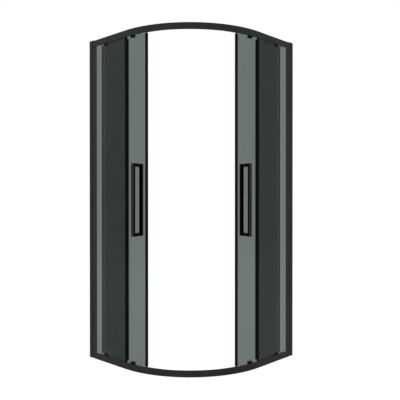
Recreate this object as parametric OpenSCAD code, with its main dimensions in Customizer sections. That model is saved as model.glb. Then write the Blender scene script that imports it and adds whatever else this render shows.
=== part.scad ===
// Corner shower enclosure, quadrant shape: two flat fixed panes and two curved sliding doors
// that run on rollers inside curved rails. Millimetres, +Z up, origin in the middle of the
// footprint at the floor. The room corner lies towards -X +Y and the curved front faces +X -Y.
//
// Both halves are the same piece of work mirrored about the diagonal of the footprint, and
// the top rail is the bottom rail turned over. So every piece is drawn once, for the left
// half and the bottom rail, in coordinates that start at the wall:
//   X  distance from the left wall, along the front
//   Y  depth behind the outer face of the frame
//   Z  height above the floor (below the top of the rail, once it is turned over)

/* [Overall size] */
// Width along each wall
enclosure_w = 893; // [885:1:930]
// Height over all, with the channel caps
enclosure_h = 1950; // [1700:10:2100]
// Outer radius of the curved front
corner_r = 543; // [535:1:555]

/* [Rails] */
// Depth of the rails, front to back
rail_depth = 60; // [59.5:0.5:68]
// Wall thickness of the rails
rail_wall = 2; // [1.6:0.1:2.2]
// Height of the rail's front skirt
rail_skirt = 38.5; // [34:0.5:45]
// Height of the rail's rear flange
rail_flange = 7; // [5:1:22]
// Thickness of the rib behind the fixed panes
rib_t = 1.5; // [1.2:0.1:2]
// Height of the rib behind the fixed panes
rib_h = 20; // [16:0.5:20]

/* [Wall channels and side posts] */
// Depth of the wall channel
channel_depth = 26; // [25.5:0.5:30]
// Wall thickness of the wall channel
channel_wall = 2; // [1.6:0.1:2.2]
// Length of the wall channel's legs, out from the wall
channel_leg = 25; // [22:1:28]
// Radius of the wall screw holes
wall_hole_r = 3; // [2.5:0.1:3.5]
// Height of the lowest wall screw hole, and distance of the highest from the top of the rail
wall_hole_end = 150; // [100:5:250]
// Number of wall screw holes in each channel
wall_hole_count = 4; // [2:1:5]
// Distance from the wall to the near side of the side post
post_start = 8; // [6:0.5:10]
// Distance from the wall to the end of the side post, where the rails begin
post_end = 40; // [38:1:44]
// Wall thickness of the side post
post_wall = 1.5; // [1.2:0.1:2]
// Reach of the post's front lip past the end of the post
front_lip = 24; // [16:1:28]
// Thickness of the post's front lip
front_lip_t = 2.5; // [2:0.1:2.7]
// Reach of the post's rear lip past the end of the post
rear_lip = 8; // [6:1:10]
// Thickness of the post's rear lip
rear_lip_t = 2; // [1.5:0.1:3]
// Thickness of the cap on each wall channel
cap_t = 3; // [2:0.5:5]
// Depth of the cap's plug
plug_h = 6; // [4:0.5:6.5]

/* [Fixed panes] */
// Thickness of all panes
glass_t = 6; // [5.6:0.1:6.2]
// Depth of the fixed pane's outer face behind the frame's outer face
pane_depth = 7; // [6.8:0.1:7.4]
// Height of a fixed pane's lower edge over the floor, and the same at the top
pane_inset = 10; // [8:0.5:12]
// How far the fixed panel reaches past the start of the curve
panel_past = 7; // [4:1:9]
// Thickness of the gasket behind the pane
gasket_back = 2; // [1.8:0.1:2.4]
// Bite of the gasket past the pane's edge at the side post
gasket_side = 3; // [2.5:0.5:4]
// Height of the gasket's front leg
gasket_h = 33; // [28:0.5:34]

/* [Edge profiles and edge seals] */
// Width of the edge profile on the free end of a fixed pane
profile_w = 18; // [16:1:22]
// Thickness of the edge profile's legs
profile_leg = 2; // [1.6:0.1:2.2]
// Thickness of the edge profile's web
profile_web = 4; // [3:0.5:5]
// Width of the edge seal
edge_seal_w = 8; // [6:0.5:9]
// Depth of the edge seal's inner face behind the frame's outer face
edge_seal_depth = 20; // [18:0.5:20.5]
// Height of the edge seal's lower end over the floor, and the same at the top
edge_seal_inset = 48; // [40:1:60]

/* [Doors] */
// Depth of the middle of the closed door glass behind the frame's outer face
door_depth = 34; // [33.5:0.1:34.5]
// Height of the door glass over the floor, and its distance below the top of the rail
door_inset = 25; // [24.5:0.1:28]
// How far the closed door glass reaches back past the start of the curve
door_back = 25; // [20:1:45]
// Gap between the leading seals of the closed doors
lead_gap = 0.5; // [0.5:0.1:2]
// Width of the leading seal, along the door
lead_seal_w = 13; // [11:0.5:16]
// Thickness of the leading seal, through the door
lead_seal_t = 14; // [10:0.5:15]
// How deep the door glass sits in its leading seal
lead_seal_bite = 5; // [3:0.5:7]
// Width of the trailing seal, along the door
trail_seal_w = 8; // [6:0.5:12]
// Wall thickness of the trailing seal
trail_seal_wall = 1.5; // [1:0.1:2]

/* [Door travel] */
// Angle of the leading hangers round the curve, doors closed
lead_hanger_deg = 34; // [32:0.5:35]
// Angle of the trailing hangers round the curve, doors closed
trail_hanger_deg = 5; // [4.5:0.5:6]
// Distance from the middle of the curve to the middle of the roller tracks
track_shift = 275; // [265:1:285]
// Swing of a fully open door about the middle of its tracks
full_open_deg = 20.15; // [18:0.05:20.5]
// Angle by which the left door stands short of fully open
left_short_deg = 0; // [0:0.1:18]
// Angle by which the right door stands short of fully open
right_short_deg = 0.8; // [0:0.1:18]
// Gap between a hanger and its buffer at the end of the travel
stop_gap = 0.4; // [0.3:0.1:1]

/* [Rollers and tracks] */
// Radius of the rollers
wheel_r = 7.5; // [7:0.1:7.6]
// Width of the rollers
wheel_w = 6; // [5:0.1:6.2]
// Width of the rollers' rims, and depth of the recess inside them
wheel_rim = 1; // [0.6:0.1:1.4]
// Radius of the roller axles
axle_r = 2.5; // [2:0.1:3]
// Gap between a roller and its axle
axle_gap = 0.05; // [0.03:0.01:0.1]
// Gap between a roller and what it runs beside or on
running_gap = 0.3; // [0.3:0.05:0.4]
// Height of the track's running face over the floor, and the same at the top
track_face = 20; // [20:0.1:20.6]
// Wall thickness of the tracks
track_wall = 2; // [1.6:0.1:2.2]
// Thickness of the track's fixing flange
track_flange_t = 1.5; // [1.2:0.1:1.8]
// Gap between a hanger and the running track
track_gap = 1.5; // [1.2:0.1:1.8]
// Distance from the track's front edge to the rollers
wheel_margin = 1; // [0.8:0.1:1.2]
// Thickness of the end clip on a roller axle
clip_t = 1; // [0.8:0.1:1.2]
// Gap between an axle's end clip and the track's web
clip_gap = 0.7; // [0.5:0.1:0.9]
// Radius of an axle's end clip
clip_r = 3.8; // [3.4:0.1:4.5]
// Radius of the shoulder on a roller axle
shoulder_r = 4; // [3.6:0.1:4.6]
// Length of the track's end lugs
lug_l = 20; // [16:1:24]
// Height of the track's end lugs
lug_h = 12; // [8:1:15]
// Reach of the track past its end lugs
track_past = 1; // [0.5:0.5:3]
// Reach of the lugs past the hanger plates
lug_margin = 1; // [0.5:0.1:1.5]
// Length of the rubber buffers
buffer_l = 3.5; // [3:0.5:6]

/* [Door hangers] */
// Width of the hanger plate
plate_w = 24; // [20:1:26]
// Thickness of the hanger plate
plate_t = 3; // [2.5:0.1:3.4]
// Height of the hanger plate's end over the floor, and the same at the top
plate_start = 5; // [4:0.5:7]
// Width of the glass clamp
clamp_w = 28; // [24:1:32]
// Thickness of the clamp's jaws
jaw_t = 4; // [3.5:0.1:5]
// Gap between the clamp and the track
clamp_gap = 1.2; // [0.8:0.1:1.4]
// Bite of the clamp on the door glass
clamp_bite = 15; // [14:0.5:18]
// Radius of the clamp bolts
clamp_bolt_r = 2.5; // [2:0.1:3]
// Height of the clamp bolts' heads, half of it sunk into the jaw
bolt_head_h = 2; // [1.6:0.1:3]
// Thickness that the bolt's thread leaves in the outer jaw
bolt_cover = 1; // [0.6:0.1:1.4]
// Clearance of the holes in the door glass round bolts and studs
glass_hole_gap = 1.5; // [1:0.1:2]

/* [Handles] */
// Height of the handles
handle_h = 416; // [300:1:500]
// Size of the square handle bar
handle_bar = 18; // [14:0.5:20]
// Distance from the middle of the glass to the face of the handle
handle_reach = 52; // [44:0.5:56]
// Distance from the doors' meeting line to the middle of the handle
handle_setback = 68; // [40:1:90]
// Radius of the handle studs
stud_r = 4; // [3:0.1:5]
// Depth of the stud in the handle's legs
stud_depth = 15; // [10:1:25]
// Radius of the washers under the handles
washer_r = 7.5; // [6:0.1:8.5]
// Thickness of the washers under the handles
washer_t = 1; // [0.8:0.1:2]

/* [Brackets and screws] */
// Length of the corner brackets inside the ends of the rails
bracket_l = 22; // [20:1:22]
// Height of the corner brackets over the rail's wall
bracket_h = 14; // [12:0.5:16]
// Radius of the frame screws
screw_r = 2; // [1.6:0.1:2.4]
// Radius of the frame screws' heads
screw_head_r = 4; // [3.6:0.1:4.4]
// Length of the frame screws
screw_l = 12; // [9:0.5:13]
// Height of the pan heads
pan_h = 2.5; // [2:0.1:3]
// Radius of the pan heads
pan_head_r = 3.4; // [3:0.1:3.5]
// Distance of the bracket screws from the bracket's sides
bracket_screw_inset = 9; // [7:0.5:12]
// Height of the lowest adjusting screw, and distance of the highest from the top of the rail
adjust_end = 200; // [170:5:300]
// Number of adjusting screws in each channel
adjust_count = 3; // [2:1:4]
// Clearance round screws and between pieces that slip together
fit_gap = 0.1; // [0.1:0.05:0.2]
// Clearance between the side post and the wall channel, and round the corner brackets
slip_gap = 0.3; // [0.2:0.05:0.5]

/* [Hidden] */
$fn = 96;

// Colours
frame_grey = "#2f3130";
seal_black = "#151716";
handle_black = "#262928";
roller_white = "#d8d8d2";
screw_steel = "#8e9092";
smoked = [0.30, 0.33, 0.32, 0.45];

// Overshoot of cutting shapes, and of pieces that join into one solid
over = 1;

// Length of a screw, bolt or stud past what it holds, or short of the end of its hole
spare = 1;

// Top of the rails, and the start of the curve
rail_top = enclosure_h - cap_t;
curve_start = enclosure_w - corner_r;

// Fixed panes
pane_back = pane_depth + glass_t;
rib_y = pane_back + gasket_back;
panel_end = curve_start + panel_past;
profile_start = panel_end - profile_w;
web_end = panel_end - edge_seal_w;
pane_end = web_end - profile_web;
pane_start = post_end + gasket_side;
leg_front = pane_depth - profile_leg;

// Side post in its channel
post_front = channel_wall + slip_gap;
post_back = channel_depth - channel_wall - slip_gap;
lip_front = rail_wall + slip_gap;
lip_back = lip_front + front_lip_t;
lip_end = post_end + front_lip;
channel_mid = channel_depth / 2;
adjust_x = (post_start + channel_leg) / 2;

// Doors: radii and angles round the middle of the curve, angle 0 at the start of the curve
door_r = corner_r - door_depth;
glass_in = door_r - glass_t / 2;
glass_out = door_r + glass_t / 2;
lead_end_deg = 45 - arc_deg(lead_gap / 2, door_r);
lead_seal_deg = lead_end_deg - arc_deg(lead_seal_w, door_r);
lead_glass_deg = lead_seal_deg + arc_deg(lead_seal_bite, door_r);
trail_glass_deg = -arc_deg(door_back, door_r);
trail_end_deg = trail_glass_deg - arc_deg(trail_seal_wall, door_r);
trail_seal_deg = trail_end_deg + arc_deg(trail_seal_w, door_r);
handle_deg = 45 - arc_deg(handle_setback, door_r);

// Tracks: all four hangers of a door stand on one circle, so one arc carries them both
mid_deg = (lead_hanger_deg + trail_hanger_deg) / 2;
half_deg = (lead_hanger_deg - trail_hanger_deg) / 2;
track_x = curve_start - track_shift * sin(mid_deg);
track_y = corner_r + track_shift * cos(mid_deg);
track_along = track_shift + door_r * cos(half_deg);
track_across = door_r * sin(half_deg);
track_r = sqrt(track_along * track_along + track_across * track_across);
track_half_deg = atan(track_across / track_along);
lead_track_deg = mid_deg + track_half_deg;
trail_track_deg = mid_deg - track_half_deg;

// Rollers stand inward of the hanger plate, whose inner face is on the track circle
ledge_out = track_r - track_gap;
wheel_out = ledge_out - wheel_margin;
wheel_in = wheel_out - wheel_w;
clip_out = wheel_in - running_gap;
clip_in = clip_out - clip_t;
web_out = clip_in - clip_gap;
web_in = web_out - track_wall;
axle_z = track_face - wheel_r - running_gap;
ledge_back = track_face + track_wall;
clamp_start = ledge_back + clamp_gap;
clamp_end = door_inset + clamp_bite;
bolt_z = (door_inset + clamp_end) / 2;
bolt_head_r = 2 * clamp_bolt_r;
jaw_in = glass_in - jaw_t;
jaw_out = glass_out + jaw_t;

// Ends of the tracks, just past the hanger plates at the ends of their travel. A door opens
// less where the tracks would run into the corner brackets
plate_half_deg = arc_deg(plate_w / 2 + stop_gap, track_r);
buffer_deg = arc_deg(buffer_l, track_r);
lug_deg = arc_deg(lug_l, track_r);
section_deg = arc_deg(lug_l + track_past, track_r);
lug_out = track_r + plate_t + lug_margin;
track_room = track_x - post_end - bracket_l - slip_gap;
open_deg = min(full_open_deg, trail_track_deg - plate_half_deg - buffer_deg - section_deg
    + asin(track_room / lug_out));
open_stop_deg = trail_track_deg - open_deg - plate_half_deg - buffer_deg;
closed_stop_deg = lead_track_deg + plate_half_deg + buffer_deg;
lug_in = (web_in + web_out) / 2;
lug_mid = (lug_in + lug_out) / 2;

// Corner brackets
bracket_start = rib_y + rib_t + slip_gap;
bracket_back = rail_depth - rail_wall;
bracket_screws = [bracket_start + bracket_screw_inset, bracket_back - bracket_screw_inset];
bracket_mid = post_end + bracket_l / 2;
post_screw_y = rib_y + rib_t + fit_gap + pan_head_r;
post_screw_z = rail_wall + bracket_h / 2;

// Angle that a length makes round a circle
function arc_deg(length, radius) = length / radius * 180 / PI;

// Heights of a row of screws, spread evenly between two ends
function row(end, count) =
    [for (i = [0 : count - 1]) end + i * (rail_top - 2 * end) / (count - 1)];

// Places

// Wall coordinates of the left half
module left() {
    translate([-enclosure_w / 2, -enclosure_w / 2, 0])
        children();
}

// The same for the right half, mirrored about the diagonal of the footprint
module right() {
    mirror([1, 1, 0])
        left()
            children();
}

// Turns a piece of the bottom rail over, to the top rail
module top() {
    translate([0, 0, rail_top])
        mirror([0, 0, 1])
            children();
}

// A closed door swung open about the middle of its tracks
module swing(deg) {
    translate([track_x, track_y, 0])
        rotate([0, 0, -deg])
            translate([-track_x, -track_y, 0])
                children();
}

module left_door() {
    left()
        swing(open_deg - left_short_deg)
            children();
}

module right_door() {
    right()
        swing(open_deg - right_short_deg)
            children();
}

// Middle of the curve, with X pointing outward at an angle from the start of the curve
module round_curve(deg) {
    translate([curve_start, corner_r, 0])
        rotate([0, 0, deg - 90])
            children();
}

// Middle of the tracks, with X pointing outward at an angle
module round_track(deg) {
    translate([track_x, track_y, 0])
        rotate([0, 0, deg - 90])
            children();
}

// Ring sector between two radii, angles and heights, starting on the X axis
module sector(r_in, r_out, deg, z_from, z_to) {
    rotate_extrude(angle = deg)
        translate([r_in, z_from])
            square([r_out - r_in, z_to - z_from]);
}

// Sector of the curve between two angles
module curve_sector(r_in, r_out, from, to, z_from, z_to) {
    round_curve(from)
        sector(r_in, r_out, to - from, z_from, z_to);
}

// Sector of a track between two angles
module track_sector(r_in, r_out, from, to, z_from, z_to) {
    round_track(from)
        sector(r_in, r_out, to - from, z_from, z_to);
}

// Box between two opposite corners
module box(a, b) {
    translate([min(a.x, b.x), min(a.y, b.y), min(a.z, b.z)])
        cube([abs(b.x - a.x), abs(b.y - a.y), abs(b.z - a.z)]);
}

// Rod along X between two places
module rod_x(r, a, b) {
    translate([min(a, b), 0, 0])
        rotate([0, 90, 0])
            cylinder(h = abs(b - a), r = r);
}

// Rails

module rail_section() {
    square([rail_depth, rail_wall]);
    square([rail_wall, rail_skirt]);
    translate([rib_y, 0])
        square([rib_t, rib_h]);
    translate([rail_depth - rail_wall, 0])
        square([rail_wall, rail_flange]);
}

// Straight end of the rail, from the side post to the curve
module rail_straight() {
    translate([post_end, 0, 0])
        rotate([90, 0, 90])
            linear_extrude(curve_start - post_end)
                rail_section();
}

// Centres of the countersunk screws of the left half
module at_rail_screws() {
    for (y = bracket_screws)
        translate([bracket_mid, y, 0])
            children();
    at_lug_screws()
        children();
}

// Centres of the screws in a track's end lugs
module at_lug_screws() {
    for (deg = [open_stop_deg - lug_deg / 2, closed_stop_deg + lug_deg / 2])
        round_track(deg)
            translate([lug_mid, 0, 0])
                children();
}

// Hole for a countersunk screw, open past both faces of the rail's wall
module countersink() {
    head = screw_head_r + fit_gap;
    hole = screw_r + fit_gap;
    rotate_extrude()
        polygon([[0, -over], [head, -over], [head, 0], [hole, rail_wall],
            [hole, rail_wall + over], [0, rail_wall + over]]);
}

module rail() {
    difference() {
        union() {
            left()
                rail_straight();
            right()
                rail_straight();
            left()
                round_curve(0)
                    rotate_extrude(angle = 90)
                        translate([corner_r, 0])
                            mirror([1, 0])
                                rail_section();
        }
        left()
            at_rail_screws()
                countersink();
        right()
            at_rail_screws()
                countersink();
    }
}

module top_rail() {
    color(frame_grey)
        top()
            rail();
}

module bottom_rail() {
    color(frame_grey)
        rail();
}

// Wall channels, side posts and caps

module wall_channel() {
    color(frame_grey)
        difference() {
            box([0, 0, 0], [channel_leg, channel_depth, rail_top]);
            box([channel_wall, channel_wall, -over],
                [channel_leg + over, channel_depth - channel_wall, rail_top + over]);
            for (z = row(wall_hole_end, wall_hole_count))
                translate([0, channel_mid, z])
                    rod_x(wall_hole_r, -over, channel_wall + over);
            for (z = row(adjust_end, adjust_count))
                translate([adjust_x, channel_mid, z])
                    rotate([-90, 0, 0])
                        cylinder(h = channel_depth, r = screw_r + fit_gap);
        }
}

module wall_channel_left() {
    left()
        wall_channel();
}

module wall_channel_right() {
    right()
        wall_channel();
}

module side_post() {
    color(frame_grey)
        difference() {
            union() {
                box([post_start, post_front, 0], [post_end, post_back, rail_top]);
                box([post_end - post_wall, lip_front, rail_wall],
                    [lip_end, lip_back, rail_top - rail_wall]);
                box([post_end - post_wall, rib_y, rib_h + over],
                    [post_end + rear_lip, rib_y + rear_lip_t, rail_top - rib_h - over]);
            }
            box([post_start + post_wall, post_front + post_wall, -over],
                [post_end - post_wall, post_back - post_wall, rail_top + over]);
            for (z = row(adjust_end, adjust_count))
                translate([adjust_x, channel_mid, z])
                    rotate([-90, 0, 0])
                        cylinder(h = channel_depth, r = screw_r + fit_gap);
            for (z = [post_screw_z, rail_top - post_screw_z])
                translate([0, post_screw_y, z])
                    rod_x(screw_r + fit_gap, post_end - 2 * post_wall, post_end + over);
        }
}

module side_post_left() {
    left()
        side_post();
}

module side_post_right() {
    right()
        side_post();
}

module channel_cap() {
    plug_gap = post_wall + slip_gap;
    color(frame_grey)
        union() {
            box([0, 0, rail_top], [post_end, channel_depth, enclosure_h]);
            box([post_start + plug_gap, post_front + plug_gap, rail_top - plug_h],
                [post_end - plug_gap, post_back - plug_gap, rail_top + over]);
        }
}

module channel_cap_left() {
    left()
        channel_cap();
}

module channel_cap_right() {
    right()
        channel_cap();
}

// Fixed panes

module fixed_glass() {
    color(smoked)
        box([pane_start, pane_depth, pane_inset], [pane_end, pane_back, rail_top - pane_inset]);
}

module fixed_glass_left() {
    left()
        fixed_glass();
}

module fixed_glass_right() {
    right()
        fixed_glass();
}

// Gasket along the bottom edge of a pane, between the skirt and the rib
module gasket_strip() {
    box([post_end, rail_wall, rail_wall], [profile_start, rib_y, rib_h]);
    box([post_end, rail_wall, rib_h], [profile_start, pane_depth, gasket_h]);
}

module glazing_gasket() {
    color(seal_black)
        difference() {
            union() {
                gasket_strip();
                top()
                    gasket_strip();
                box([post_end, lip_back, rail_wall],
                    [post_end + rear_lip, rib_y, rail_top - rail_wall]);
                box([post_end, lip_back, rail_wall],
                    [lip_end, pane_depth, rail_top - rail_wall]);
            }
            fixed_glass();
            box([0, 0, 0], [lip_end, lip_back, rail_top]);
        }
}

module glazing_gasket_left() {
    left()
        glazing_gasket();
}

module glazing_gasket_right() {
    right()
        glazing_gasket();
}

module edge_profile() {
    z_low = rail_wall;
    z_high = rail_top - rail_wall;
    color(frame_grey)
        union() {
            box([profile_start, leg_front, z_low], [panel_end, pane_depth, z_high]);
            box([profile_start, pane_back, z_low], [web_end, rib_y, z_high]);
            box([pane_end, leg_front, z_low], [web_end, rib_y, z_high]);
        }
}

module edge_profile_left() {
    left()
        edge_profile();
}

module edge_profile_right() {
    right()
        edge_profile();
}

module edge_seal() {
    color(seal_black)
        box([web_end, pane_depth, edge_seal_inset],
            [panel_end, edge_seal_depth, rail_top - edge_seal_inset]);
}

module edge_seal_left() {
    left()
        edge_seal();
}

module edge_seal_right() {
    right()
        edge_seal();
}

// Corner brackets

module corner_bracket() {
    color(screw_steel)
        difference() {
            box([post_end, bracket_start, rail_wall],
                [post_end + bracket_l, bracket_back, rail_wall + bracket_h]);
            for (y = bracket_screws)
                translate([bracket_mid, y, 0])
                    cylinder(h = screw_l + spare, r = screw_r + fit_gap);
            translate([0, post_screw_y, post_screw_z])
                rod_x(screw_r + fit_gap, post_end - over, post_end + bracket_l + over);
        }
}

module corner_bracket_bottom_left() {
    left()
        corner_bracket();
}

module corner_bracket_bottom_right() {
    right()
        corner_bracket();
}

module corner_bracket_top_left() {
    top()
        left()
            corner_bracket();
}

module corner_bracket_top_right() {
    top()
        right()
            corner_bracket();
}

// Roller tracks

// Fixing flange on the rail's wall, web behind the rollers, and the ledge they run on
module track_section() {
    flange_top = rail_wall + track_flange_t;
    polygon([[web_in, rail_wall], [ledge_out, rail_wall], [ledge_out, flange_top],
        [web_out, flange_top], [web_out, track_face], [ledge_out, track_face],
        [ledge_out, ledge_back], [web_in, ledge_back]]);
}

module roller_track() {
    lug_top = rail_wall + lug_h;
    color(screw_steel)
        difference() {
            union() {
                round_track(open_stop_deg - section_deg)
                    rotate_extrude(angle = closed_stop_deg - open_stop_deg + 2 * section_deg)
                        track_section();
                round_track(open_stop_deg)
                    box([lug_in, -lug_l, rail_wall], [lug_out, 0, lug_top]);
                round_track(closed_stop_deg)
                    box([lug_in, 0, rail_wall], [lug_out, lug_l, lug_top]);
            }
            at_lug_screws()
                cylinder(h = screw_l + spare, r = screw_r + fit_gap);
        }
}

module roller_track_bottom_left() {
    left()
        roller_track();
}

module roller_track_bottom_right() {
    right()
        roller_track();
}

module roller_track_top_left() {
    top()
        left()
            roller_track();
}

module roller_track_top_right() {
    top()
        right()
            roller_track();
}

// Rubber buffers on the top track's lugs, where the hanger plates stop
module door_buffers() {
    z_from = rail_wall + track_flange_t;
    z_to = rail_wall + lug_h;
    color(seal_black)
        top() {
            track_sector(ledge_out, lug_out, open_stop_deg, open_stop_deg + buffer_deg,
                z_from, z_to);
            track_sector(ledge_out, lug_out, closed_stop_deg - buffer_deg, closed_stop_deg,
                z_from, z_to);
        }
}

module door_buffers_left() {
    left()
        door_buffers();
}

module door_buffers_right() {
    right()
        door_buffers();
}

// Frame and adjusting screws

module flat_screw() {
    cylinder(h = screw_l, r = screw_r);
    cylinder(h = rail_wall, r1 = screw_head_r, r2 = screw_r);
}

module rail_screws() {
    at_rail_screws()
        flat_screw();
    translate([0, post_screw_y, post_screw_z]) {
        rod_x(screw_r, post_end - post_wall - spare, post_end + bracket_l);
        rod_x(pan_head_r, post_end + bracket_l, post_end + bracket_l + pan_h);
    }
}

module frame_screws() {
    color(screw_steel) {
        left()
            rail_screws();
        right()
            rail_screws();
        top() {
            left()
                rail_screws();
            right()
                rail_screws();
        }
    }
}

module channel_screws() {
    for (z = row(adjust_end, adjust_count))
        translate([adjust_x, 0, z])
            rotate([0, 0, 90]) {
                rod_x(pan_head_r, channel_depth, channel_depth + pan_h);
                rod_x(screw_r, post_back - post_wall - spare, channel_depth);
            }
}

module adjusting_screws() {
    color(screw_steel) {
        left()
            channel_screws();
        right()
            channel_screws();
    }
}

// Doors

// Angles of the two hangers round the curve
hanger_degs = [trail_hanger_deg, lead_hanger_deg];

// Heights of the handle's studs, in the middle of its legs
stud_zs = [for (s = [-1, 1]) rail_top / 2 + s * (handle_h - handle_bar) / 2];

// Curved pane, which cuts the seals' slots when it is drawn past their ends
module door_pane(past = 0) {
    curve_sector(glass_in, glass_out, trail_glass_deg, lead_glass_deg,
        door_inset - past, rail_top - door_inset + past);
}

// Clamp bolts' places, on both rails
module at_clamp_bolts() {
    for (deg = hanger_degs)
        for (z = [bolt_z, rail_top - bolt_z])
            round_curve(deg)
                translate([0, 0, z])
                    children();
}

module door_glass() {
    color(smoked)
        difference() {
            door_pane();
            at_clamp_bolts()
                rod_x(clamp_bolt_r + glass_hole_gap, glass_in - over, glass_out + over);
            for (z = stud_zs)
                round_curve(handle_deg)
                    translate([0, 0, z])
                        rod_x(stud_r + glass_hole_gap, glass_in - over, glass_out + over);
        }
}

module door_glass_left() {
    left_door()
        door_glass();
}

module door_glass_right() {
    right_door()
        door_glass();
}

module leading_seal() {
    color(seal_black)
        difference() {
            curve_sector(door_r - lead_seal_t / 2, door_r + lead_seal_t / 2,
                lead_seal_deg, lead_end_deg, door_inset, rail_top - door_inset);
            door_pane(over);
        }
}

module leading_seal_left() {
    left_door()
        leading_seal();
}

module leading_seal_right() {
    right_door()
        leading_seal();
}

module trailing_seal() {
    color(seal_black)
        difference() {
            curve_sector(glass_in - trail_seal_wall, glass_out + trail_seal_wall,
                trail_end_deg, trail_seal_deg, door_inset, rail_top - door_inset);
            door_pane(over);
        }
}

module trailing_seal_left() {
    left_door()
        trailing_seal();
}

module trailing_seal_right() {
    right_door()
        trailing_seal();
}

// Handles

// One handle, on one side of the glass, from the washers to the face of its grip
module handle(foot, face) {
    low = rail_top / 2 - handle_h / 2;
    high = rail_top / 2 + handle_h / 2;
    half = handle_bar / 2;
    side = sign(face - foot);
    color(handle_black)
        round_curve(handle_deg)
            difference() {
                box([foot, -half, low], [face, half, high]);
                box([foot - side * over, -half - over, low + handle_bar],
                    [face - side * handle_bar, half + over, high - handle_bar]);
                for (z = stud_zs)
                    translate([0, 0, z])
                        rod_x(stud_r + fit_gap, foot - side * over, foot + side * stud_depth);
            }
}

module outer_handle() {
    handle(glass_out + washer_t, door_r + handle_reach);
}

module outer_handle_left() {
    left_door()
        outer_handle();
}

module outer_handle_right() {
    right_door()
        outer_handle();
}

module inner_handle() {
    handle(glass_in - washer_t, door_r - handle_reach);
}

module inner_handle_left() {
    left_door()
        inner_handle();
}

module inner_handle_right() {
    right_door()
        inner_handle();
}

// Studs through the glass, with a washer on each face
module handle_studs() {
    reach = glass_t / 2 + washer_t;
    color(screw_steel)
        difference() {
            for (z = stud_zs)
                round_curve(handle_deg)
                    translate([door_r, 0, z]) {
                        rod_x(stud_r, -reach - stud_depth + spare, reach + stud_depth - spare);
                        rod_x(washer_r, -reach, reach);
                    }
            difference() {
                door_pane();
                for (z = stud_zs)
                    round_curve(handle_deg)
                        translate([door_r, 0, z])
                            rod_x(stud_r, -glass_t, glass_t);
            }
        }
}

module handle_studs_left() {
    left_door()
        handle_studs();
}

module handle_studs_right() {
    right_door()
        handle_studs();
}

// Hangers

// Plate and axle on the track circle, with a clamp below that grips the glass
module hanger(curve_deg, track_deg) {
    half = arc_deg(clamp_w / 2, door_r);
    color(frame_grey)
        difference() {
            union() {
                round_track(track_deg) {
                    box([track_r, -plate_w / 2, plate_start],
                        [track_r + plate_t, plate_w / 2, clamp_start + over]);
                    translate([0, 0, axle_z]) {
                        rod_x(shoulder_r, wheel_out + running_gap, track_r + over);
                        rod_x(axle_r, clip_in, track_r + over);
                        rod_x(clip_r, clip_in, clip_out);
                    }
                }
                curve_sector(jaw_in, jaw_out,
                    curve_deg - half, curve_deg + half, clamp_start, clamp_end);
            }
            curve_sector(glass_in, glass_out, curve_deg - 2 * half, curve_deg + 2 * half,
                door_inset, clamp_end + over);
            round_curve(curve_deg)
                translate([0, 0, bolt_z]) {
                    rod_x(clamp_bolt_r + fit_gap, jaw_in - over, jaw_out - bolt_cover);
                    rod_x(bolt_head_r + fit_gap, jaw_in - over, jaw_in + bolt_head_h / 2);
                }
        }
}

module lead_hanger() {
    hanger(lead_hanger_deg, lead_track_deg);
}

module trail_hanger() {
    hanger(trail_hanger_deg, trail_track_deg);
}

module hanger_bottom_lead_left() {
    left_door()
        lead_hanger();
}

module hanger_bottom_trail_left() {
    left_door()
        trail_hanger();
}

module hanger_bottom_lead_right() {
    right_door()
        lead_hanger();
}

module hanger_bottom_trail_right() {
    right_door()
        trail_hanger();
}

module hanger_top_lead_left() {
    top()
        hanger_bottom_lead_left();
}

module hanger_top_trail_left() {
    top()
        hanger_bottom_trail_left();
}

module hanger_top_lead_right() {
    top()
        hanger_bottom_lead_right();
}

module hanger_top_trail_right() {
    top()
        hanger_bottom_trail_right();
}

// Bolts of the clamps, with their heads sunk into the inner jaws
module clamp_bolts() {
    color(screw_steel)
        at_clamp_bolts() {
            rod_x(clamp_bolt_r, jaw_in, jaw_out - bolt_cover - spare);
            rod_x(bolt_head_r, jaw_in - bolt_head_h / 2, jaw_in + bolt_head_h / 2);
        }
}

module clamp_bolts_left() {
    left_door()
        clamp_bolts();
}

module clamp_bolts_right() {
    right_door()
        clamp_bolts();
}

// Rollers

module roller(track_deg) {
    hub_r = (wheel_r + axle_r) / 2;
    color(roller_white)
        round_track(track_deg)
            translate([wheel_in, 0, axle_z])
                difference() {
                    rod_x(wheel_r, 0, wheel_w);
                    rod_x(axle_r + axle_gap, -over, wheel_w + over);
                    difference() {
                        rod_x(wheel_r - wheel_rim, -over, wheel_rim);
                        rod_x(hub_r, -over, wheel_rim + over);
                    }
                }
}

module lead_roller() {
    roller(lead_track_deg);
}

module trail_roller() {
    roller(trail_track_deg);
}

module roller_bottom_lead_left() {
    left_door()
        lead_roller();
}

module roller_bottom_trail_left() {
    left_door()
        trail_roller();
}

module roller_bottom_lead_right() {
    right_door()
        lead_roller();
}

module roller_bottom_trail_right() {
    right_door()
        trail_roller();
}

module roller_top_lead_left() {
    top()
        roller_bottom_lead_left();
}

module roller_top_trail_left() {
    top()
        roller_bottom_trail_left();
}

module roller_top_lead_right() {
    top()
        roller_bottom_lead_right();
}

module roller_top_trail_right() {
    top()
        roller_bottom_trail_right();
}

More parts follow.
